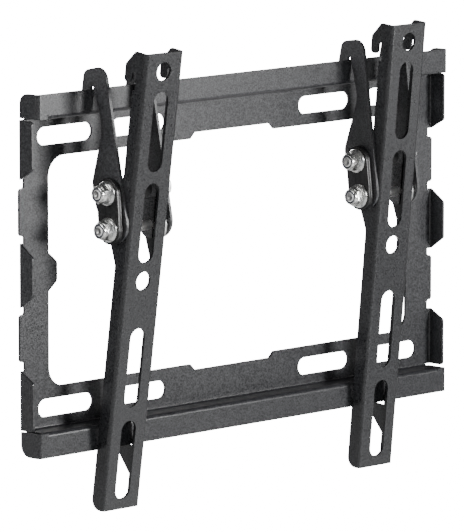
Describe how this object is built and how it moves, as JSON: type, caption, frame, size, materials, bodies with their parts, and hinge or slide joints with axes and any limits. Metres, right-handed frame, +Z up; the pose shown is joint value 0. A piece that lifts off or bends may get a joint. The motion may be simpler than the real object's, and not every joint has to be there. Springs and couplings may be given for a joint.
{
  "type": "tilting tv wall bracket",
  "caption": "Folded wall plate with stepped top and bottom rails, and two slotted TV rails that hook on and tilt on bolted side plates.",
  "frame": {"origin": "centre of the wall plate at its back face, which lies on the wall", "axes": "+X along the plate, +Y into the wall, +Z up; the viewer stands on the -Y side"},
  "size_m": [0.342, 0.0577, 0.2686],
  "materials": {
    "powder_coat": "fine texture black powder coat, satin",
    "zinc": "bright zinc plate"
  },
  "bodies": {
    "wall": {"wall_plate": "powder_coat"},
    "left_hooks": {"left_outer_hook_plate": "powder_coat", "left_inner_hook_plate": "powder_coat"},
    "left_rail": {"left_tv_rail": "powder_coat", "left_tilt_bracket": "powder_coat", "left_pivot_bolt": "zinc", "left_pivot_nut": "zinc", "left_lock_stud": "zinc", "left_lock_nut": "zinc", "left_guide_bolt": "zinc", "left_spacer_plate": "powder_coat", "left_clamp_plate": "powder_coat", "left_pivot_washer": "zinc", "left_guide_washer": "zinc"},
    "right_hooks": {"right_outer_hook_plate": "powder_coat", "right_inner_hook_plate": "powder_coat"},
    "right_rail": {"right_tv_rail": "powder_coat", "right_tilt_bracket": "powder_coat", "right_pivot_bolt": "zinc", "right_pivot_nut": "zinc", "right_lock_stud": "zinc", "right_lock_nut": "zinc", "right_guide_bolt": "zinc", "right_spacer_plate": "powder_coat", "right_clamp_plate": "powder_coat", "right_pivot_washer": "zinc", "right_guide_washer": "zinc"}
  },
  "joints": [
    {"name": "left_swing", "type": "hinge", "parent": "wall", "child": "left_hooks", "pos_m": [-0.1099, -0.01475, 0.104], "axis": [1, 0, 0], "range_deg": [0, 13.02]},
    {"name": "left_tilt", "type": "hinge", "parent": "left_hooks", "child": "left_rail", "pos_m": [-0.1099, -0.03186, 0.02534], "axis": [1, 0, 0], "range_deg": [-21.04, 0]},
    {"name": "right_swing", "type": "hinge", "parent": "wall", "child": "right_hooks", "pos_m": [0.1011, -0.01475, 0.104], "axis": [1, 0, 0], "range_deg": [-3.71, 9.31]},
    {"name": "right_tilt", "type": "hinge", "parent": "right_hooks", "child": "right_rail", "pos_m": [0.1011, -0.02673, 0.0244], "axis": [1, 0, 0], "range_deg": [-15.13, 6.01]}
  ],
  "couplings": [
    {"joint": "left_tilt", "follows": "left_swing", "ratio": -1.6146},
    {"joint": "right_tilt", "follows": "right_swing", "ratio": -1.6146}
  ]
}
